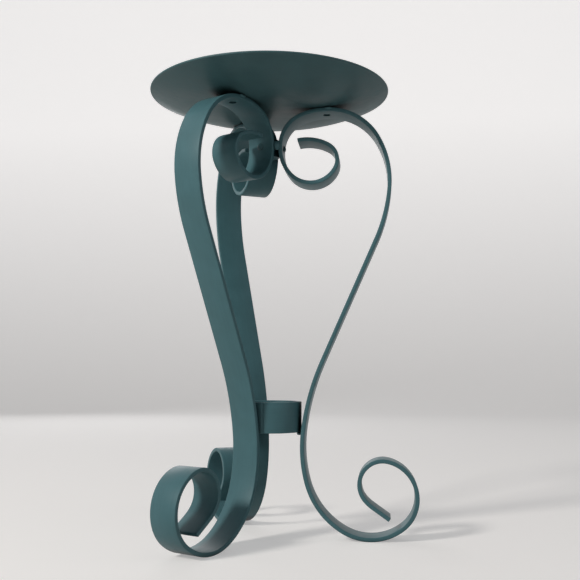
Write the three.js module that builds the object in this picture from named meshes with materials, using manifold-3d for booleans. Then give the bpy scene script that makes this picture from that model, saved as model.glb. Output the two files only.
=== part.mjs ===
// Candle stand: three scrolled legs of flat iron strip carry a shallow round plate.
// Millimetres, +Z up. The origin is on the stand's axis, in the plane that the feet rest on.
import * as THREE from 'three';
import { mergeVertices } from 'three/addons/utils/BufferGeometryUtils.js';
import Module from 'manifold-3d';

const wasm = await Module();
wasm.setup();

// ---- Driving dimensions ----
const seatGap = 0.3;             // clearance left between pieces that touch
const legCount = 3;

const stripWidth = 15;
const stripThickness = 2;

// Each leg is bent from one strip. The bends start at the top of the arch, where the strip is
// level, and are given as [radius of the strip's middle, sweep in degrees]. A straight run has
// the radius 0 and its length instead of a sweep.
const archRadius = 29.8;         // from the stand's axis to the top of the arch
const straightRun = 66.5;        // the slanting stretch between shoulder and waist
const shoulderBends = [[34, 10], [29, 51], [45.5, 35], [84, 18]];
const footBends = [[120.5, 17], [65.5, 22], [38, 46], [26, 67], [18, 129], [11.5, 144], [18.5, 35]];
const topCurlBends = [[33, 23], [17, 53], [21, 54], [14, 112], [9, 89], [23, 40]];
const bendStep = 6;              // degrees of bend for one flat of the strip's outline

const plateRadius = 61.5;
const plateThickness = 1.2;
const plateFlatRadius = 22;      // the level middle of the plate
const dishDepth = 9.4;           // how far the rim stands above the level middle
const plateSides = 72;
const brimSteps = 7;

const ringHeight = 15;
const ringThickness = 2;
const ringBottom = 52;
const ringSeam = 0.4;            // the slit where the ends of the band meet
const ringSeamAngle = 268;       // degrees round the axis
const ringSides = 48;

const plateRivetRadius = 1.6;
const plateRivetHeadRadius = 3.1;
const plateRivetHeadHeight = 1.1;
const plateRivetRecess = 0.7;    // how far its tail stays inside the strip
const hubRivetRadius = 1.1;
const hubRivetHeadRadius = 1.9;
const hubRivetHeadHeight = 1;
const hubRivetDepth = 2.4;       // how far it goes into the hub
const hubHeight = 9;
const rivetSides = 18;

const plateBead = [2.2, 1.3, 1.2];   // half lengths: along the strip, across it, upright
const plateBeadRadius = 31;          // from the axis
const curlBead = [1.3, 1.9, 2.3];    // half lengths: away from the axis, across the slot, upright
const curlBeadProud = 0.7;           // how far its middle stands outside the strips' corners
const ringBead = [1.4, 3, 1.3];      // half lengths: away from the axis, along the strip's width, upright

const paint = { color: 0x4d6f75, roughness: 0.5, metalness: 0.0 };

// ---- Small helpers ----
const radians = THREE.MathUtils.degToRad;

function bare(geometry) {
  // Only positions are left, with shared vertices merged and no collapsed triangle.
  const copy = geometry.clone();
  copy.deleteAttribute('normal');
  copy.deleteAttribute('uv');
  const merged = mergeVertices(copy);
  const kept = [];
  const index = merged.index.array;
  for (let i = 0; i < index.length; i += 3) {
    const [a, b, c] = [index[i], index[i + 1], index[i + 2]];
    if (a !== b && b !== c && c !== a) kept.push(a, b, c);
  }
  merged.setIndex(kept);
  return merged;
}

function solidOf(geometry) {
  const merged = bare(geometry);
  return new wasm.Manifold(new wasm.Mesh({
    numProp: 3,
    vertProperties: new Float32Array(merged.attributes.position.array),
    triVerts: new Uint32Array(merged.index.array),
  }));
}

function geometryOf(solid) {
  const mesh = solid.getMesh();
  const geometry = new THREE.BufferGeometry();
  geometry.setAttribute('position', new THREE.BufferAttribute(new Float32Array(mesh.vertProperties), 3));
  geometry.setIndex(new THREE.BufferAttribute(new Uint32Array(mesh.triVerts), 1));
  geometry.computeVertexNormals();
  return geometry;
}

function turned(geometry, degrees) {
  return geometry.clone().rotateZ(radians(degrees));
}

// ---- The bent strip ----
// A station is a point on the middle of the strip, in the plane of the leg: its distance from the
// axis, its height and its heading, as an angle from the outward direction.
function bend(start, bends, turn) {
  const stations = [start];
  let { out, up, heading } = start;
  for (const [radius, sweep] of bends) {
    if (radius === 0) {
      out += sweep * Math.cos(heading);
      up += sweep * Math.sin(heading);
      stations.push({ out, up, heading });
      continue;
    }
    const steps = Math.ceil(sweep / bendStep);
    const side = radius * turn;
    const centreOut = out - side * Math.sin(heading);
    const centreUp = up + side * Math.cos(heading);
    for (let i = 0; i < steps; i += 1) {
      heading += turn * radians(sweep) / steps;
      out = centreOut + side * Math.sin(heading);
      up = centreUp - side * Math.cos(heading);
      stations.push({ out, up, heading });
    }
  }
  return stations;
}

function legStations(archHeight) {
  const outward = { out: archRadius, up: archHeight, heading: 0 };
  const inward = { out: archRadius, up: archHeight, heading: Math.PI };
  const shoulder = bend(outward, [...shoulderBends, [0, straightRun]], -1);
  const foot = bend(shoulder.at(-1), footBends, 1);
  const curl = bend(inward, topCurlBends, 1).map((s) => ({ ...s, heading: s.heading - Math.PI }));
  // One run from the tip of the top curl, over the arch, down to the tip of the foot.
  return { curl, foot, run: [...curl.reverse(), ...shoulder.slice(1), ...foot.slice(1)] };
}

function face(stations, offset) {
  return stations.map((s) => new THREE.Vector2(
    s.out - offset * Math.sin(s.heading),
    s.up + offset * Math.cos(s.heading),
  ));
}

// The feet touch the ground plane, so the arch stands as high as the foot's underside is deep.
const undersideAtZero = Math.min(...face(legStations(0).foot, -stripThickness / 2).map((p) => p.y));
const archHeight = -undersideAtZero;
const leg = legStations(archHeight);
const archTop = archHeight + stripThickness / 2;
const insideFace = face(leg.foot, -stripThickness / 2);
const innermost = leg.curl.reduce((best, s) => (s.out < best.out ? s : best));
const curlFaceRadius = innermost.out - stripThickness / 2;

function stripGeometry(width, thickness) {
  // The outline goes down one face of the strip and back up the other.
  const outer = face(leg.run, thickness / 2);
  const inner = face(leg.run, -thickness / 2);
  const outline = new THREE.Shape([...inner, ...outer.reverse()]);
  const geometry = new THREE.ExtrudeGeometry(outline, { depth: width, bevelEnabled: false });
  return geometry.rotateX(Math.PI / 2).translate(0, width / 2, 0);
}

// ---- The plate ----
const brimRadius = ((plateRadius - plateFlatRadius) ** 2 + dishDepth ** 2) / (2 * dishDepth);

function brimRise(radius) {
  // The brim is one arc that leaves the level middle smoothly.
  const along = Math.max(0, radius - plateFlatRadius);
  return brimRadius - Math.sqrt(brimRadius ** 2 - along ** 2);
}

const plateUnderside = archTop + seatGap - brimRise(archRadius);
const plateTop = plateUnderside + plateThickness;

function plateGeometry(extra) {
  // extra thickens the plate on both faces, for cutting clearance.
  const low = [new THREE.Vector2(0, plateUnderside - extra)];
  const high = [new THREE.Vector2(0, plateTop + extra)];
  for (let i = 0; i <= brimSteps; i += 1) {
    const radius = plateFlatRadius + (plateRadius - plateFlatRadius) * (i / brimSteps);
    low.push(new THREE.Vector2(radius, plateUnderside - extra + brimRise(radius)));
    high.push(new THREE.Vector2(radius, plateTop + extra + brimRise(radius)));
  }
  return new THREE.LatheGeometry([...low, ...high.reverse()], plateSides).rotateX(Math.PI / 2);
}

// ---- Fasteners ----
function rod(radius, from, to) {
  const length = to - from;
  return new THREE.CylinderGeometry(radius, radius, length, rivetSides)
    .rotateX(Math.PI / 2).translate(0, 0, from + length / 2);
}

function rivet(shankRadius, headRadius, headHeight, shankLength) {
  // The head's flat side lies at height 0, its dome above it and the shank below.
  const domeRadius = (headRadius ** 2 + headHeight ** 2) / (2 * headHeight);
  const profile = [
    new THREE.Vector2(0, -shankLength),
    new THREE.Vector2(shankRadius, -shankLength),
    new THREE.Vector2(shankRadius, 0),
  ];
  const domeSteps = 3;
  for (let i = 0; i < domeSteps; i += 1) {
    const radius = headRadius * (1 - i / domeSteps);
    profile.push(new THREE.Vector2(radius, headHeight - domeRadius + Math.sqrt(domeRadius ** 2 - radius ** 2)));
  }
  profile.push(new THREE.Vector2(0, headHeight));
  return new THREE.LatheGeometry(profile, rivetSides).rotateX(Math.PI / 2);
}

const plateRivetSeat = plateTop + brimRise(archRadius + plateRivetHeadRadius) + seatGap;
const plateRivetTail = archTop - stripThickness + plateRivetRecess;

function plateRivetGeometry() {
  const shank = plateRivetSeat - plateRivetTail;
  return rivet(plateRivetRadius, plateRivetHeadRadius, plateRivetHeadHeight, shank)
    .translate(archRadius, 0, plateRivetSeat);
}

function plateRivetHole() {
  return rod(plateRivetRadius + seatGap, archTop - 2 * stripThickness, plateRivetSeat)
    .translate(archRadius, 0, 0);
}

const hubRadius = curlFaceRadius - seatGap;
const hubRivetSeat = curlFaceRadius + stripThickness + seatGap;

function hubRivetGeometry() {
  const shank = hubRivetSeat - (hubRadius - hubRivetDepth);
  return rivet(hubRivetRadius, hubRivetHeadRadius, hubRivetHeadHeight, shank)
    .rotateY(Math.PI / 2).translate(hubRivetSeat, 0, innermost.up);
}

function hubRivetHole() {
  return rod(hubRivetRadius + seatGap, hubRadius - hubRivetDepth - seatGap, hubRivetSeat)
    .rotateY(Math.PI / 2).translate(0, 0, innermost.up);
}

// ---- Cut solids ----
function legGeometry() {
  return geometryOf(solidOf(stripGeometry(stripWidth, stripThickness))
    .subtract(solidOf(plateRivetHole()))
    .subtract(solidOf(hubRivetHole())));
}

function plateWithHoles(angles) {
  let solid = solidOf(plateGeometry(0));
  for (const angle of angles) solid = solid.subtract(solidOf(turned(plateRivetHole(), angle)));
  return geometryOf(solid);
}

function hubGeometry(angles) {
  let solid = solidOf(rod(hubRadius, innermost.up - hubHeight / 2, innermost.up + hubHeight / 2));
  for (const angle of angles) solid = solid.subtract(solidOf(turned(hubRivetHole(), angle)));
  return geometryOf(solid);
}

// The band lies inside the legs, so its size comes from the narrowest place between them.
const besideRing = insideFace.filter((p) => p.y > 0 && p.x < archRadius);
function insideRadiusAt(height) {
  const above = besideRing.findIndex((p) => p.y < height);
  const [high, low] = [besideRing[above - 1] ?? leg.run[0], besideRing[above]];
  if (!high.x) return low.x;
  return low.x + (high.x - low.x) * (height - low.y) / (high.y - low.y);
}
const ringRadius = Math.min(insideRadiusAt(ringBottom), insideRadiusAt(ringBottom + ringHeight)) - seatGap;

function ringGeometry(extra) {
  // A band bent round the axis, with a narrow slit where its ends meet.
  const outer = ringRadius + extra;
  const inner = ringRadius - ringThickness - extra;
  const slit = ringSeam / ringRadius / 2;
  const from = radians(ringSeamAngle) + slit;
  const to = from + 2 * Math.PI - 2 * slit;
  const points = [];
  for (let i = 0; i <= ringSides; i += 1) {
    const angle = from + (to - from) * (i / ringSides);
    points.push(new THREE.Vector2(outer * Math.cos(angle), outer * Math.sin(angle)));
  }
  for (let i = ringSides; i >= 0; i -= 1) {
    const angle = from + (to - from) * (i / ringSides);
    points.push(new THREE.Vector2(inner * Math.cos(angle), inner * Math.sin(angle)));
  }
  const height = ringHeight + 2 * extra;
  return new THREE.ExtrudeGeometry(new THREE.Shape(points), { depth: height, bevelEnabled: false })
    .translate(0, 0, ringBottom - extra);
}

// ---- Weld beads: rounded lumps, cut back from what they join ----
const strip = solidOf(stripGeometry(stripWidth + 2 * seatGap, stripThickness + 2 * seatGap));

function lump([x, y, z]) {
  return new THREE.SphereGeometry(1, 14, 8).rotateX(Math.PI / 2).scale(x, y, z);
}

function plateBeadGeometry(side) {
  const height = plateUnderside + brimRise(plateBeadRadius) - plateBead[2] / 2;
  const bead = solidOf(lump(plateBead).translate(plateBeadRadius, side * stripWidth / 2, height));
  return geometryOf(bead.subtract(strip).subtract(solidOf(plateGeometry(seatGap))));
}

function ringBeadGeometry() {
  const bead = solidOf(lump(ringBead).translate(ringRadius - ringBead[0] / 2, 0, ringBottom));
  return geometryOf(bead.subtract(strip).subtract(solidOf(ringGeometry(seatGap))));
}

const pitch = 360 / legCount;

function curlBeadGeometry() {
  // It fills the slot between one curl's edge and the next one's.
  const half = radians(pitch / 2);
  const cornerRadius = curlFaceRadius * Math.cos(half) + stripWidth / 2 * Math.sin(half);
  const bead = solidOf(lump(curlBead).translate(cornerRadius + curlBeadProud, 0, innermost.up));
  const before = strip.rotate([0, 0, -pitch / 2]);
  const after = strip.rotate([0, 0, pitch / 2]);
  return geometryOf(bead.subtract(before).subtract(after));
}

// ---- The assembly ----
const stand = new THREE.Group();

function place(name, geometry, angle) {
  const mesh = new THREE.Mesh(geometry, new THREE.MeshStandardMaterial(paint));
  mesh.name = name;
  mesh.rotation.z = radians(angle);
  stand.add(mesh);
}

const legAngles = Array.from({ length: legCount }, (_, i) => i * pitch);

place('candle_plate', plateWithHoles(legAngles), 0);
place('waist_ring', ringGeometry(0), 0);
place('curl_hub', hubGeometry(legAngles), 0);

const legShape = legGeometry();
const plateRivetShape = plateRivetGeometry();
const hubRivetShape = hubRivetGeometry();
const curlBeadShape = curlBeadGeometry();
const ringBeadShape = ringBeadGeometry();

for (const angle of legAngles) {
  place(`leg_${angle}`, legShape, angle);
  place(`plate_rivet_${angle}`, plateRivetShape, angle);
  place(`hub_rivet_${angle}`, hubRivetShape, angle);
  place(`plate_tack_${angle}`, plateBeadGeometry(angle === 0 ? -1 : 1), angle);
  place(`ring_tack_${angle}`, ringBeadShape, angle);
  place(`curl_tack_${angle + pitch / 2}`, curlBeadShape, angle + pitch / 2);
}

export default stand;
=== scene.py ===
"""Candle stand of scrolled iron strip, painted blue-green, on a plain pale sweep."""

import math

import bmesh
import bpy
import numpy as np
from mathutils import Matrix, Vector


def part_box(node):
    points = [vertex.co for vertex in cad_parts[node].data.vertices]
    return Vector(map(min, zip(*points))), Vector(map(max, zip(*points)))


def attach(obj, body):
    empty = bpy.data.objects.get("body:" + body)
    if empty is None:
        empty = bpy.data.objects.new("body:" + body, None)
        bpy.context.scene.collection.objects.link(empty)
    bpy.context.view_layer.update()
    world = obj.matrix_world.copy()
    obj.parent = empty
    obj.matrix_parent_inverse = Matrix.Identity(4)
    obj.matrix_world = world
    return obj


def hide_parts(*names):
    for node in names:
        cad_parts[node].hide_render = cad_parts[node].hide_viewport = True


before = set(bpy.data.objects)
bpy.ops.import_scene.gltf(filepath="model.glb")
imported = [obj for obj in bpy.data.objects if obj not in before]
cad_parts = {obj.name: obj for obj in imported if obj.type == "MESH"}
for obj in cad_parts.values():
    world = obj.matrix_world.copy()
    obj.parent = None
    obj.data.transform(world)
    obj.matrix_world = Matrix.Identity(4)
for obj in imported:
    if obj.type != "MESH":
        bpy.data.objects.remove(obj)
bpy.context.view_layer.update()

MM = 0.001
LEG_ANGLES = (0, 120, 240)        # degrees round the stand's axis
CURL_BEAD_ANGLES = (60, 180, 300)


def add_object(name, data):
    """A new object in the scene, holding a mesh, a camera or a lamp."""
    thing = bpy.data.objects.new(name, data)
    bpy.context.scene.collection.objects.link(thing)
    return thing


# ---- Camera: fitted to the photograph ----
CAMERA_DISTANCE = 436.7 * MM      # from the stand's axis, in plan
CAMERA_HEIGHT = 81.9 * MM
CAMERA_ROUND = 7.47               # degrees that the camera stands to the right of the front
CAMERA_AIM = 1.418                # degrees that it aims to the right of the stand's axis
CAMERA_PITCH = 5.428              # degrees that it looks up
CAMERA_ROLL = 0.094               # degrees that its top leans to the left
CAMERA_LENS = 53.32               # focal length in millimetres
SENSOR_WIDTH = 36.0               # millimetres
NEAREST_SEEN = 10.0 * MM


def make_camera():
    """A pinhole camera at the photograph's viewpoint, built from its distance, height and angles."""
    data = bpy.data.cameras.new("camera")
    data.lens = CAMERA_LENS
    data.sensor_width = SENSOR_WIDTH
    data.clip_start = NEAREST_SEEN
    around = math.radians(CAMERA_ROUND)
    heading = math.radians(90 - CAMERA_AIM + CAMERA_ROUND)
    pitch = math.radians(CAMERA_PITCH)
    roll = math.radians(CAMERA_ROLL)
    place = Vector((CAMERA_DISTANCE * math.sin(around), -CAMERA_DISTANCE * math.cos(around), CAMERA_HEIGHT))
    level = math.cos(pitch)
    forward = Vector((math.cos(heading) * level, math.sin(heading) * level, math.sin(pitch)))
    unrolled_right = Vector((math.sin(heading), -math.cos(heading), 0))
    unrolled_up = unrolled_right.cross(forward)
    right = math.cos(roll) * unrolled_right + math.sin(roll) * unrolled_up
    up = math.cos(roll) * unrolled_up - math.sin(roll) * unrolled_right
    turn = Matrix((right, up, -forward)).transposed().to_4x4()
    camera = add_object("camera", data)
    camera.matrix_world = Matrix.Translation(place) @ turn
    bpy.context.scene.camera = camera


make_camera()


# ---- Meshes: numpy grids, and rounded copies of CAD nodes ----
SMOOTH_ANGLE = 35.0               # degrees; sharper edges stay edges
BEVEL_ANGLE = 50.0                # degrees; on a copy, sharper edges are rounded
BEVEL_SEGMENTS = 2
GRID_MERGE = 0.0001 * MM          # points of a grid this near each other become one
COPY_MERGE = 0.001 * MM           # the same for a copy's loose triangles


def smooth_mesh(mesh):
    """Shades a mesh smooth and keeps its sharp edges."""
    mesh.shade_smooth()
    mesh.set_sharp_from_angle(angle=math.radians(SMOOTH_ANGLE))


def grid_object(name, points, wrap_u=False, wrap_v=False, run=None):
    """An object from a grid of points of shape (rows, columns, 3); a wrapped side closes on itself.
    run, of the same shape, is kept on the vertices as the surface's own coordinates."""
    rows, columns = points.shape[:2]
    this_row = np.arange(rows * columns).reshape(rows, columns)
    next_row = np.roll(this_row, -1, axis=0)
    if not wrap_u:
        this_row, next_row = this_row[:-1], next_row[:-1]
    corners = [this_row, next_row, np.roll(next_row, -1, axis=1), np.roll(this_row, -1, axis=1)]
    if not wrap_v:
        corners = [corner[:, :-1] for corner in corners]
    quads = np.stack(corners, axis=-1)
    mesh = bpy.data.meshes.new(name)
    mesh.from_pydata(points.reshape(-1, 3).tolist(), [], quads.reshape(-1, 4).tolist())
    if run is not None:
        layer = mesh.attributes.new("run", "FLOAT_VECTOR", "POINT")
        layer.data.foreach_set("vector", run.astype(np.float32).ravel())
    work = bmesh.new()
    work.from_mesh(mesh)
    bmesh.ops.remove_doubles(work, verts=work.verts, dist=GRID_MERGE)
    bmesh.ops.recalc_face_normals(work, faces=work.faces)
    work.to_mesh(mesh)
    work.free()
    smooth_mesh(mesh)
    return add_object(name, mesh)


def rounded_copy(node, name, edge):
    """A merged copy of a CAD node: same shape, its hard edges rounded and its bends shaded smooth."""
    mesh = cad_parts[node].data.copy()
    mesh.name = name
    mesh.materials.clear()
    for stale in ("custom_normal", "sharp_edge", "sharp_face"):
        if stale in mesh.attributes:
            mesh.attributes.remove(mesh.attributes[stale])
    work = bmesh.new()
    work.from_mesh(mesh)
    bmesh.ops.remove_doubles(work, verts=work.verts, dist=COPY_MERGE)
    bmesh.ops.dissolve_degenerate(work, edges=work.edges, dist=COPY_MERGE)
    work.to_mesh(mesh)
    work.free()
    smooth_mesh(mesh)
    thing = add_object(name, mesh)
    rounding = thing.modifiers.new("rounded_edges", "BEVEL")
    rounding.width = edge
    rounding.segments = BEVEL_SEGMENTS
    rounding.limit_method = "ANGLE"
    rounding.angle_limit = math.radians(BEVEL_ANGLE)
    rounding.harden_normals = True
    return thing


def revolve(radius, height, angles):
    """A profile turned round the axis, one row of points for each angle:
    (radius * cos angle, radius * sin angle, height). The radius may differ from row to row."""
    turn = angles[:, None]
    grids = np.broadcast_arrays(radius * np.cos(turn), radius * np.sin(turn), height)
    return np.stack(grids, axis=-1)


def from_leg_frame(points, angle):
    """Points turned from a leg's own frame, where +X runs outwards, into the stand's frame."""
    turn = math.radians(angle)
    out = points.copy()
    out[..., 0] = points[..., 0] * math.cos(turn) - points[..., 1] * math.sin(turn)
    out[..., 1] = points[..., 0] * math.sin(turn) + points[..., 1] * math.cos(turn)
    return out


# ---- Paint ----
# A noise has this many cells in a metre; the paint's streaks are drawn out along X.
STREAK_CELLS = 900
STREAK_STRETCH = (0.06, 1, 1)
MOTTLE_CELLS = 70
GRAIN_CELLS = 1500
NOISE_ROUGHNESS = 0.55

# Shade, as a factor on the paint's colour
MOTTLE_BASE = 0.83
MOTTLE_GAIN = 0.34
STREAK_SHADE = 0.5

# Rubbed edges, painted lighter partly as real wear and partly as a painted highlight along the edges: how
# far from an edge they reach, how fast they grow, and how they break into patches
RUBBED_AND_HIGHLIT = (0.24, 0.36, 0.37, 1.0)
EDGE_REACH = 0.25 * MM
EDGE_SAMPLES = 6
EDGE_GAIN = 9.0
PATCH_GAIN = 1.6
PATCH_BASE = -0.25
MOST_WORN_AND_HIGHLIT = 0.75

# Painted shade in crevices: within this reach of a corner the paint's colour is darkened where shade falls.
# It is darkest where the open share of the space around is the closed share below or less, and full where it
# is the open share or more.
PAINTED_SHADE_REACH = 6.0 * MM
PAINTED_SHADE_SAMPLES = 8
PAINTED_SHADE_CLOSED = 0.15
PAINTED_SHADE_OPEN = 0.7
PAINTED_SHADE_DARKEST = 0.12

# Gloss and relief
ROUGHNESS_CHANGE = 0.25
GRAIN_WEIGHT = 0.3                # in the relief, where the streaks' weight is 1
RELIEF_HEIGHT = 0.06 * MM
RELIEF_STRENGTH = 0.6
SPECULAR_LEVEL = 0.22


def group_socket(group, name, kind, output=False, value=None):
    """Adds an input or output to a node group, with a default value if one is given."""
    socket = group.interface.new_socket(name=name, in_out="OUTPUT" if output else "INPUT", socket_type=kind)
    if value is not None:
        socket.default_value = value


def make_paint_group():
    """Hand-brushed paint: streaks along the coordinates' X, mottling, fine grain, edges painted lighter as
    wear and as a painted highlight, and painted shade that darkens the crevices."""
    group = bpy.data.node_groups.new("brushed_paint", "ShaderNodeTree")
    group_socket(group, "Coordinates", "NodeSocketVector")
    group_socket(group, "Paint", "NodeSocketColor")
    group_socket(group, "Rubbed and highlit", "NodeSocketColor")
    group_socket(group, "Streaks", "NodeSocketFloat", value=0.5)
    group_socket(group, "Wear and highlight", "NodeSocketFloat", value=0.4)
    group_socket(group, "Roughness", "NodeSocketFloat", value=0.45)
    group_socket(group, "Colour", "NodeSocketColor", output=True)
    group_socket(group, "Roughness", "NodeSocketFloat", output=True)
    group_socket(group, "Height", "NodeSocketFloat", output=True)
    nodes, links = group.nodes, group.links
    into = nodes.new("NodeGroupInput")
    out = nodes.new("NodeGroupOutput")

    def math_node(kind, *values):
        """A Math node's output; each value is a number or another node's output."""
        node = nodes.new("ShaderNodeMath")
        node.operation = kind
        for socket, value in zip(node.inputs, values):
            if isinstance(value, (int, float)):
                socket.default_value = value
            else:
                links.new(value, socket)
        return node.outputs[0]

    def noise(cells, detail, stretch=(1, 1, 1)):
        """Noise from 0 to 1 over the group's coordinates."""
        mapping = nodes.new("ShaderNodeMapping")
        mapping.inputs["Scale"].default_value = stretch
        links.new(into.outputs["Coordinates"], mapping.inputs["Vector"])
        node = nodes.new("ShaderNodeTexNoise")
        node.inputs["Scale"].default_value = cells
        node.inputs["Detail"].default_value = detail
        node.inputs["Roughness"].default_value = NOISE_ROUGHNESS
        links.new(mapping.outputs[0], node.inputs["Vector"])
        return node.outputs["Fac"]

    streak = noise(STREAK_CELLS, detail=3, stretch=STREAK_STRETCH)
    mottle = noise(MOTTLE_CELLS, detail=4)
    grain = noise(GRAIN_CELLS, detail=2)

    # Edges painted lighter, as wear and as a painted highlight: near an edge the rounded normal turns away
    # from the surface's own.
    corner = nodes.new("ShaderNodeBevel")
    corner.samples = EDGE_SAMPLES
    corner.inputs["Radius"].default_value = EDGE_REACH
    surface = nodes.new("ShaderNodeNewGeometry")
    facing = nodes.new("ShaderNodeVectorMath")
    facing.operation = "DOT_PRODUCT"
    links.new(corner.outputs[0], facing.inputs[0])
    links.new(surface.outputs["Normal"], facing.inputs[1])
    edge = math_node("MULTIPLY", math_node("SUBTRACT", 1.0, facing.outputs["Value"]), EDGE_GAIN)
    patchy = math_node("MULTIPLY_ADD", mottle, PATCH_GAIN, PATCH_BASE)
    worn_and_highlit = math_node("MULTIPLY", math_node("MULTIPLY", edge, patchy), into.outputs["Wear and highlight"])
    worn_and_highlit = math_node("MINIMUM", worn_and_highlit, MOST_WORN_AND_HIGHLIT)

    # Shade: mottling and streaks, then painted shade that darkens the crevices.
    shade = math_node("MULTIPLY_ADD", mottle, MOTTLE_GAIN, MOTTLE_BASE)
    streaked = math_node("MULTIPLY", math_node("SUBTRACT", streak, 0.5), into.outputs["Streaks"])
    shade = math_node("ADD", shade, math_node("MULTIPLY", streaked, STREAK_SHADE))
    # Painted shade: the colour darkens where little of the space around is open, as if shade fell there.
    open_space = nodes.new("ShaderNodeAmbientOcclusion")
    open_space.samples = PAINTED_SHADE_SAMPLES
    open_space.inputs["Distance"].default_value = PAINTED_SHADE_REACH
    painted_crevice_shade = nodes.new("ShaderNodeMapRange")
    links.new(open_space.outputs["AO"], painted_crevice_shade.inputs["Value"])
    painted_crevice_shade.inputs["From Min"].default_value = PAINTED_SHADE_CLOSED
    painted_crevice_shade.inputs["From Max"].default_value = PAINTED_SHADE_OPEN
    painted_crevice_shade.inputs["To Min"].default_value = PAINTED_SHADE_DARKEST
    shade = math_node("MULTIPLY", shade, painted_crevice_shade.outputs["Result"])

    tinted = nodes.new("ShaderNodeVectorMath")
    tinted.operation = "SCALE"
    links.new(into.outputs["Paint"], tinted.inputs[0])
    links.new(shade, tinted.inputs["Scale"])
    # The edges are mixed towards the lighter rubbed colour, as wear and as a painted highlight.
    mixed = nodes.new("ShaderNodeMix")
    mixed.data_type = "RGBA"
    links.new(worn_and_highlit, mixed.inputs["Factor"])
    links.new(tinted.outputs[0], mixed.inputs["A"])
    links.new(into.outputs["Rubbed and highlit"], mixed.inputs["B"])
    links.new(mixed.outputs["Result"], out.inputs["Colour"])

    # Gloss follows the streaks and the mottling, relief follows the streaks and the grain.
    rough = into.outputs["Roughness"]
    for pattern in (streak, mottle):
        rough = math_node("MULTIPLY_ADD", math_node("SUBTRACT", pattern, 0.5), ROUGHNESS_CHANGE, rough)
    links.new(rough, out.inputs["Roughness"])
    links.new(math_node("MULTIPLY_ADD", grain, GRAIN_WEIGHT, streaked), out.inputs["Height"])
    return group


PAINT_GROUP = make_paint_group()


def make_paint(name, colour, streaks, wear_and_highlight, roughness, attribute=None):
    """Satin brushed paint on iron; attribute names the surface's own coordinates, if it has them."""
    material = bpy.data.materials.new(name)
    material.use_nodes = True
    nodes, links = material.node_tree.nodes, material.node_tree.links
    shader = nodes["Principled BSDF"]
    if attribute:
        coordinates = nodes.new("ShaderNodeAttribute")
        coordinates.attribute_name = attribute
        vector = coordinates.outputs["Vector"]
    else:
        coordinates = nodes.new("ShaderNodeTexCoord")
        vector = coordinates.outputs["Object"]
    group = nodes.new("ShaderNodeGroup")
    group.node_tree = PAINT_GROUP
    links.new(vector, group.inputs["Coordinates"])
    group.inputs["Paint"].default_value = colour
    group.inputs["Rubbed and highlit"].default_value = RUBBED_AND_HIGHLIT
    group.inputs["Streaks"].default_value = streaks
    group.inputs["Wear and highlight"].default_value = wear_and_highlight
    group.inputs["Roughness"].default_value = roughness
    links.new(group.outputs["Colour"], shader.inputs["Base Color"])
    links.new(group.outputs["Roughness"], shader.inputs["Roughness"])
    relief = nodes.new("ShaderNodeBump")
    relief.inputs["Strength"].default_value = RELIEF_STRENGTH
    relief.inputs["Distance"].default_value = RELIEF_HEIGHT
    links.new(group.outputs["Height"], relief.inputs["Height"])
    links.new(relief.outputs["Normal"], shader.inputs["Normal"])
    shader.inputs["Specular IOR Level"].default_value = SPECULAR_LEVEL
    return material


# Each paint: its colour, streaks, wear with its painted edge highlight, and roughness. The strip's streaks
# run along the strip.
PAINTS = {
    "strip_paint": make_paint("strip_paint", (0.068, 0.160, 0.181, 1.0), 0.28, 0.35, 0.42, attribute="run"),
    # The plate's paint is the strips' blue-green set darker: painted shade for the plate's underside.
    "plate_paint": make_paint("plate_paint", (0.058, 0.128, 0.140, 1.0), 0.25, 0.35, 0.42),
    "rivet_paint": make_paint("rivet_paint", (0.055, 0.125, 0.140, 1.0), 0.10, 0.25, 0.40),
    "bead_paint": make_paint("bead_paint", (0.072, 0.162, 0.182, 1.0), 0.10, 0.20, 0.38),
}


def finish_piece(piece, slot, *nodes):
    """Gives a piece its paint, hangs it on the root body and hides the CAD nodes that it stands for."""
    piece.data.materials.append(PAINTS[slot])
    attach(piece, "root")
    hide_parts(*nodes)


# ---- The strip ----
STRIP_WIDTH = 15.0 * MM
STRIP_THICKNESS = 2.0 * MM
ROUND_EDGE = 0.32 * MM            # radius of its worn edges
EDGE_POINTS = 4                   # in the quarter turn of one edge


def strip_section():
    """The strip's section as (across, through): a core rectangle, and for each of its points the
    direction in which a rounded corner stands off it. A point is core + corner radius * direction."""
    core_half = np.array([STRIP_WIDTH / 2 - ROUND_EDGE, STRIP_THICKNESS / 2 - ROUND_EDGE])
    quarter = np.linspace(0, np.pi / 2, EDGE_POINTS)
    signs = [(1, 1), (-1, 1), (-1, -1), (1, -1)]
    core = np.vstack([np.tile(core_half * sign, (EDGE_POINTS, 1)) for sign in signs])
    turned = np.concatenate([quarter + corner * np.pi / 2 for corner in range(len(signs))])
    return core, np.column_stack([np.cos(turned), np.sin(turned)])


# ---- Legs ----
# The bends of one leg, from the top of its arch: (radius of the strip's middle in millimetres, sweep
# in degrees); a straight run has the radius 0 and its length. They are the CAD model's own, apart
# from the foot's end: there the CAD strip stays bent, and this one runs straight over FOOT_RUN.
ARCH_RADIUS = 29.8 * MM           # from the stand's axis to the top of an arch
STRAIGHT_RUN = 66.5
FOOT_RUN = 10.3
SHOULDER_BENDS = [(34, 10), (29, 51), (45.5, 35), (84, 18), (0, STRAIGHT_RUN)]
FOOT_BENDS = [(120.5, 17), (65.5, 22), (38, 46), (26, 67), (18, 129), (11.5, 144), (18.5, 14), (0, FOOT_RUN)]
TOP_CURL_BENDS = [(33, 23), (17, 53), (21, 54), (14, 112), (9, 89), (23, 40)]
RUN_STEP = 1.0 * MM
RIVET_HOLE = 1.9 * MM             # radius
DRILL_REACH = 6.0 * MM            # above and below the rivet's middle
DRILL_SIDES = 32


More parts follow.
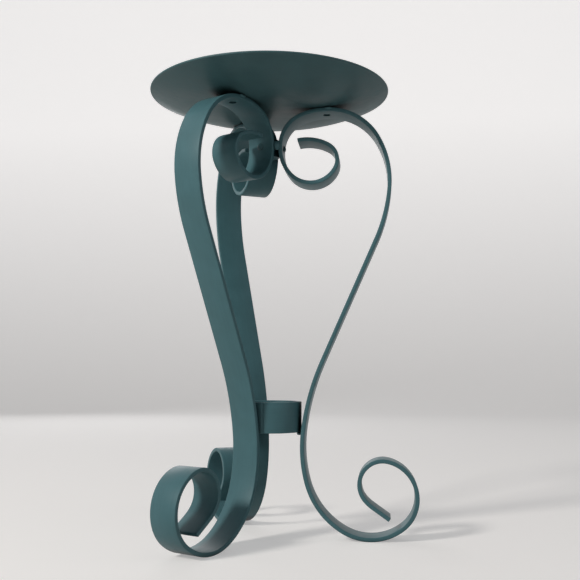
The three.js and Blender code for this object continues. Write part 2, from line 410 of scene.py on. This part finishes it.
def bent_line(start, heading, bends, turn):
    """A chain of arcs and straight runs as points (out, up), about a step apart, and the last heading.
    A point of an arc is centre + side * (sin h, -cos h), where the heading h changes at an even rate.
    side is the radius times turn, which is 1 where the line bends to the left and -1 to the right."""
    out, up = start
    points = [np.array([[out, up]])]
    for radius, sweep in bends:
        if radius == 0:
            length = sweep * MM
            walk = np.linspace(0, length, int(length / RUN_STEP) + 2)[1:]
            points.append(np.column_stack([out + walk * math.cos(heading), up + walk * math.sin(heading)]))
        else:
            side = turn * radius * MM
            count = int(radius * MM * math.radians(sweep) / RUN_STEP) + 2
            angles = heading + turn * math.radians(sweep) * np.linspace(0, 1, count)[1:]
            centre = np.array([out - side * math.sin(heading), up + side * math.cos(heading)])
            points.append(centre + side * np.column_stack([np.sin(angles), -np.cos(angles)]))
            heading = angles[-1]
        out, up = points[-1][-1]
    return np.vstack(points), heading


def leg_line():
    """The middle line of a leg's strip, from the tip of its top curl to the tip of its foot."""
    top = (ARCH_RADIUS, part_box("leg_0")[1].z - STRIP_THICKNESS / 2)
    curl, _ = bent_line(top, math.pi, TOP_CURL_BENDS, 1)
    shoulder, heading = bent_line(top, 0.0, SHOULDER_BENDS, -1)
    foot, _ = bent_line(shoulder[-1], heading, FOOT_BENDS, 1)
    return np.vstack([curl[::-1], shoulder[1:], foot[1:]])


LEG_LINE = leg_line()
LEG_LENGTHS = np.concatenate([[0], np.cumsum(np.linalg.norm(np.diff(LEG_LINE, axis=0), axis=1))])


def drill_arch(leg, angle):
    """Cuts the rivet's hole through the top of a leg's arch: a profile turned round an upright line."""
    low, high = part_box(f"plate_rivet_{angle}")
    radius = np.array([0, RIVET_HOLE, RIVET_HOLE, 0])
    height = np.array([-DRILL_REACH, -DRILL_REACH, DRILL_REACH, DRILL_REACH])
    around = np.linspace(0, 2 * np.pi, DRILL_SIDES, endpoint=False)
    points = revolve(radius, height, around) + np.array((low + high) / 2)
    drill = grid_object("drill", points, wrap_u=True)
    cut = leg.modifiers.new("rivet_hole", "BOOLEAN")
    cut.operation = "DIFFERENCE"
    cut.object = drill
    leg.data = bpy.data.meshes.new_from_object(leg.evaluated_get(bpy.context.evaluated_depsgraph_get()))
    leg.modifiers.clear()
    bpy.data.objects.remove(drill)
    smooth_mesh(leg.data)


def make_leg(angle):
    """One leg: the strip's section carried along the leg's line, square to it. At the distance
    ROUND_EDGE * (1 - sin t) from either end the corner radius is ROUND_EDGE * cos t, for t from a
    right angle to 0, and at the end itself the section closes on its own middle."""
    core, direction = strip_section()
    closing = np.linspace(np.pi / 2, 0, EDGE_POINTS)
    end_lengths = ROUND_EDGE * (1 - np.sin(closing))
    end_corners = ROUND_EDGE * np.cos(closing)
    whole = LEG_LENGTHS[-1]
    between = LEG_LENGTHS[(LEG_LENGTHS > 2 * ROUND_EDGE) & (LEG_LENGTHS < whole - 2 * ROUND_EDGE)]
    lengths = np.concatenate([[0], end_lengths, between, whole - end_lengths[::-1], [whole]])
    corners = np.concatenate([[0], end_corners, np.full(len(between), ROUND_EDGE), end_corners[::-1], [0]])

    ahead = np.gradient(LEG_LINE, LEG_LENGTHS, axis=0)
    ahead /= np.linalg.norm(ahead, axis=1)[:, None]
    place = np.column_stack([np.interp(lengths, LEG_LENGTHS, LEG_LINE[:, k]) for k in range(2)])
    ahead = np.column_stack([np.interp(lengths, LEG_LENGTHS, ahead[:, k]) for k in range(2)])
    section = core[None] + corners[:, None, None] * direction[None]
    section[[0, -1], :, 1] = 0
    across, through = section[..., 0], section[..., 1]
    out = place[:, :1] - ahead[:, 1:] * through
    up = place[:, 1:] + ahead[:, :1] * through
    points = from_leg_frame(np.stack([out, across, up], axis=-1), angle)
    along = lengths[:, None] + angle * MM      # another stretch of the paint's pattern on each leg
    run = np.stack(np.broadcast_arrays(along, across, through), axis=-1)
    leg = grid_object(f"scroll_leg_{angle}", points, wrap_v=True, run=run)
    drill_arch(leg, angle)
    finish_piece(leg, "strip_paint", f"leg_{angle}")


# ---- Plate ----
PLATE_RIM = 61.5 * MM             # radius
PLATE_FLAT = 22.0 * MM            # radius of its level middle
PLATE_THICKNESS = 1.2 * MM
FLAT_RADII = np.array([0, 4, 12, 18]) * MM
BRIM_POINTS = 34
RIM_POINTS = 9                    # in the half turn of the rim's edge
PLATE_STEPS = 192                 # in a whole turn


def make_plate():
    """The dished plate: a profile turned round the axis. From the level middle the brim is one arc;
    the rim's edge is a half round. The heights come from the CAD plate's box."""
    low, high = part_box("candle_plate")
    rise = high.z - low.z - PLATE_THICKNESS
    brim = ((PLATE_RIM - PLATE_FLAT) ** 2 + rise ** 2) / (2 * rise)
    edge = PLATE_THICKNESS / 2
    radii = np.concatenate([FLAT_RADII, np.linspace(PLATE_FLAT, PLATE_RIM - edge, BRIM_POINTS)])
    lift = brim - np.sqrt(brim ** 2 - np.maximum(radii - PLATE_FLAT, 0) ** 2)
    under = np.column_stack([radii, low.z + lift])
    over = np.column_stack([radii, low.z + lift + PLATE_THICKNESS])[::-1]
    turn = np.linspace(-np.pi / 2, np.pi / 2, RIM_POINTS)[1:-1]
    end_radii = PLATE_RIM - edge + edge * np.cos(turn)
    end_heights = low.z + lift[-1] + edge + edge * np.sin(turn)
    profile = np.vstack([under, np.column_stack([end_radii, end_heights]), over])
    around = np.linspace(0, 2 * np.pi, PLATE_STEPS, endpoint=False)
    points = revolve(profile[:, 0], profile[:, 1], around)
    plate = grid_object("dished_plate", points, wrap_u=True)
    finish_piece(plate, "plate_paint", "candle_plate")


# ---- Band ----
BAND_SEAM = 268.0                 # degrees round the axis
GROOVE_DEPTH = 0.14 * MM
GROOVE_WIDTH = 0.3 * MM
BAND_STEPS = 240
SEAM_CROWDING = 0.9               # 0 spaces the steps evenly; near 1 they crowd at the seam


def make_ring():
    """The band: the strip's section turned round the axis, in steps that crowd towards the seam: a
    share s of them ends at the angle 2 pi s - SEAM_CROWDING * sin(2 pi s). Where its ends meet, the
    paint dips in a shallow groove on both faces: its depth times
    exp(-(distance from the seam / groove width) squared)."""
    low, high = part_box("waist_ring")
    outer = (high.x - low.x) / 2
    core, direction = strip_section()
    across, through = (core + ROUND_EDGE * direction).T
    share = np.linspace(0, 1, BAND_STEPS, endpoint=False)
    turned = 2 * np.pi * share - SEAM_CROWDING * np.sin(2 * np.pi * share)
    from_seam = np.minimum(turned, 2 * np.pi - turned) * outer
    dip = GROOVE_DEPTH * np.exp(-(from_seam / GROOVE_WIDTH) ** 2)[:, None] * np.sign(through)
    radius = outer - STRIP_THICKNESS / 2 + through - dip
    points = revolve(radius, (low.z + high.z) / 2 + across, math.radians(BAND_SEAM) + turned)
    run = np.stack(np.broadcast_arrays(turned[:, None] * outer, across, through), axis=-1)
    ring = grid_object("waist_band", points, wrap_u=True, wrap_v=True, run=run)
    finish_piece(ring, "strip_paint", "waist_ring")


# ---- Hub and rivets ----
HUB_EDGE = 0.2 * MM               # radius
RIVET_EDGE = 0.1 * MM             # radius


def make_hub():
    """The collar on the axis, a rounded copy of its node."""
    hub = rounded_copy("curl_hub", "hub_collar", HUB_EDGE)
    finish_piece(hub, "rivet_paint", "curl_hub")


def make_rivets(angle):
    """The rivet through a leg's arch and the one through its top curl, rounded copies of their nodes."""
    for kind in ("plate_rivet", "hub_rivet"):
        rivet = rounded_copy(f"{kind}_{angle}", f"{kind}_head_{angle}", RIVET_EDGE)
        finish_piece(rivet, "rivet_paint", f"{kind}_{angle}")


# ---- Weld beads ----
# Half sizes in the frame of the leg, or of the gap between two: outwards, sideways and upright. A bead
# that is drawn in has its middle that far from its node's, towards the strips that it joins.
PLATE_BEAD = np.array([2.2, 0.9, 0.8]) * MM
PLATE_BEAD_RIPPLE = 0.07
PLATE_BEAD_DRAWN_IN = 0.45 * MM
RING_BEAD = np.array([1.3, 3.0, 0.9]) * MM
RING_BEAD_RIPPLE = 0.06
CURL_BEAD = np.array([1.1, 1.75, 2.3]) * MM
CURL_BEAD_RIPPLE = 0.08
CURL_BEAD_DRAWN_IN = 0.4 * MM
BEAD_STEPS_ROUND = 24
BEAD_POINTS_OVER = 15


def make_bead(kind, angle, halves, ripple, shift=(0, 0, 0)):
    """A weld bead in the place of its node: an ellipsoid whose radius swells and shrinks by a few slow
    waves. With u round it and v from pole to pole, the radius is
    1 + ripple * (sin 3u * sin 2v + 0.6 * cos(5u + 1) * sin 3v * sin v)."""
    low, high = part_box(f"{kind}_tack_{angle}")
    centre = np.array((low + high) / 2)
    u = np.linspace(0, 2 * np.pi, BEAD_STEPS_ROUND, endpoint=False)[:, None]
    v = np.linspace(0, np.pi, BEAD_POINTS_OVER)[None, :]
    waves = np.sin(3 * u) * np.sin(2 * v) + 0.6 * np.cos(5 * u + 1) * np.sin(3 * v) * np.sin(v)
    swell = 1 + ripple * waves
    shape = np.stack([np.cos(u) * np.sin(v) * swell, np.sin(u) * np.sin(v) * swell, np.cos(v) * swell],
                     axis=-1)
    points = from_leg_frame(shape * halves + np.array(shift), angle) + centre
    bead = grid_object(f"{kind}_bead_{angle}", points, wrap_u=True)
    finish_piece(bead, "bead_paint", f"{kind}_tack_{angle}")


def make_leg_beads(angle):
    """The bead between a leg's arch and the plate, at one edge of the strip, and the one between the
    leg and the band. side is the edge's direction in the leg's own Y."""
    side = -1 if angle == 0 else 1
    make_bead("plate", angle, PLATE_BEAD, PLATE_BEAD_RIPPLE, (0, -side * PLATE_BEAD_DRAWN_IN, 0))
    make_bead("ring", angle, RING_BEAD, RING_BEAD_RIPPLE)


def make_curl_bead(angle):
    """The bead between two neighbouring top curls."""
    make_bead("curl", angle, CURL_BEAD, CURL_BEAD_RIPPLE, (-CURL_BEAD_DRAWN_IN, 0, 0))


# ---- All the pieces ----
for leg_angle in LEG_ANGLES:
    make_leg(leg_angle)
make_plate()
make_ring()
make_hub()
for leg_angle in LEG_ANGLES:
    make_rivets(leg_angle)
    make_leg_beads(leg_angle)
for bead_angle in CURL_BEAD_ANGLES:
    make_curl_bead(bead_angle)


# ---- Floor and light, in metres and watts ----
SWEEP_REACH = 1.2                 # from the stand's axis back to where the floor starts to rise
SWEEP_BEND = 0.8                  # radius
SWEEP_WALL = 2.5                  # height
SWEEP_SPREAD = 8.0                # to the front and to each side
SWEEP_BEND_POINTS = 24
SWEEP_COLOUR = (0.70, 0.68, 0.66, 1.0)
SWEEP_ROUGHNESS = 0.9
SWEEP_SPECULAR_LEVEL = 0.1
GLOW_COLOUR = (0.88, 0.87, 0.87, 1.0)
FLOOR_GLOW = 0.40                 # lifts the sweep towards white, for the eye and not for the light
WALL_GLOW = 0.78
WORLD_COLOUR = (0.83, 0.84, 0.86, 1.0)
WORLD_LIGHT = 0.17                # strength of its light on the stand
WORLD_SHOWN = 0.95                # strength that the eye sees
# Each lamp: where it stands, the height on the stand's axis that it faces, its diameter, power and colour
LAMPS = {
    "key": ((-0.78, -0.82, 0.75), 0.11, 0.25, 10.0, (1.0, 0.97, 0.93)),
    "side": ((0.9, -0.35, 0.45), 0.12, 0.6, 0.55, (0.95, 0.97, 1.0)),
    "back": ((-0.45, 1.0, 0.60), 0.12, 0.8, 2.0, (0.97, 0.98, 1.0)),
}


def seen_rays(nodes, links):
    """1 on a ray from the camera, or through a reflection or glass, and 0 on the light itself."""
    path = nodes.new("ShaderNodeLightPath")
    seen = path.outputs["Is Camera Ray"]
    for ray in ("Is Glossy Ray", "Is Transmission Ray"):
        either = nodes.new("ShaderNodeMath")
        either.operation = "MAXIMUM"
        links.new(seen, either.inputs[0])
        links.new(path.outputs[ray], either.inputs[1])
        seen = either.outputs[0]
    return seen


def make_sweep_paper():
    """The sweep's pale material. To the eye it also glows, more with height up to the top of the bend."""
    material = bpy.data.materials.new("sweep_paper")
    material.use_nodes = True
    nodes, links = material.node_tree.nodes, material.node_tree.links
    shader = nodes["Principled BSDF"]
    shader.inputs["Base Color"].default_value = SWEEP_COLOUR
    shader.inputs["Roughness"].default_value = SWEEP_ROUGHNESS
    shader.inputs["Specular IOR Level"].default_value = SWEEP_SPECULAR_LEVEL
    shader.inputs["Emission Color"].default_value = GLOW_COLOUR
    place = nodes.new("ShaderNodeTexCoord")
    split = nodes.new("ShaderNodeSeparateXYZ")
    links.new(place.outputs["Object"], split.inputs[0])
    glow = nodes.new("ShaderNodeMapRange")
    links.new(split.outputs["Z"], glow.inputs["Value"])
    glow.inputs["From Max"].default_value = SWEEP_BEND
    glow.inputs["To Min"].default_value = FLOOR_GLOW
    glow.inputs["To Max"].default_value = WALL_GLOW
    strength = nodes.new("ShaderNodeMath")
    strength.operation = "MULTIPLY"
    links.new(seen_rays(nodes, links), strength.inputs[0])
    links.new(glow.outputs["Result"], strength.inputs[1])
    links.new(strength.outputs[0], shader.inputs["Emission Strength"])
    return material


def make_sweep():
    """A floor that curves up into a backdrop: a straight run, a quarter circle and a wall."""
    quarter = np.linspace(0, np.pi / 2, SWEEP_BEND_POINTS)
    back = SWEEP_REACH + SWEEP_BEND
    depth = np.concatenate([[-SWEEP_SPREAD], SWEEP_REACH + SWEEP_BEND * np.sin(quarter), [back]])
    height = np.concatenate([[0.0], SWEEP_BEND * (1 - np.cos(quarter)), [SWEEP_WALL]])
    width = np.array([-SWEEP_SPREAD, SWEEP_SPREAD])[:, None]
    sweep = grid_object("sweep", np.stack(np.broadcast_arrays(width, depth, height), axis=-1))
    sweep.data.materials.append(make_sweep_paper())


def make_lamp(name, place, aim_height, diameter, power, colour):
    """A round lamp that faces a point on the stand's axis."""
    data = bpy.data.lights.new(name, "AREA")
    data.shape = "DISK"
    data.size = diameter
    data.energy = power
    data.color = colour
    lamp = add_object(name, data)
    lamp.location = place
    aim = Vector((0, 0, aim_height)) - Vector(place)
    lamp.rotation_euler = aim.to_track_quat("-Z", "Y").to_euler()


def make_world():
    """An even pale world, almost white to the eye and weak as a light."""
    world = bpy.data.worlds.new("studio")
    world.use_nodes = True
    bpy.context.scene.world = world
    nodes, links = world.node_tree.nodes, world.node_tree.links
    back = nodes["Background"]
    back.inputs["Color"].default_value = WORLD_COLOUR
    strength = nodes.new("ShaderNodeMapRange")
    links.new(seen_rays(nodes, links), strength.inputs["Value"])
    strength.inputs["To Min"].default_value = WORLD_LIGHT
    strength.inputs["To Max"].default_value = WORLD_SHOWN
    links.new(strength.outputs["Result"], back.inputs["Strength"])


make_sweep()
make_world()
for lamp_name, lamp_settings in LAMPS.items():
    make_lamp(lamp_name, *lamp_settings)

bpy.context.scene.view_settings.view_transform = "Standard"
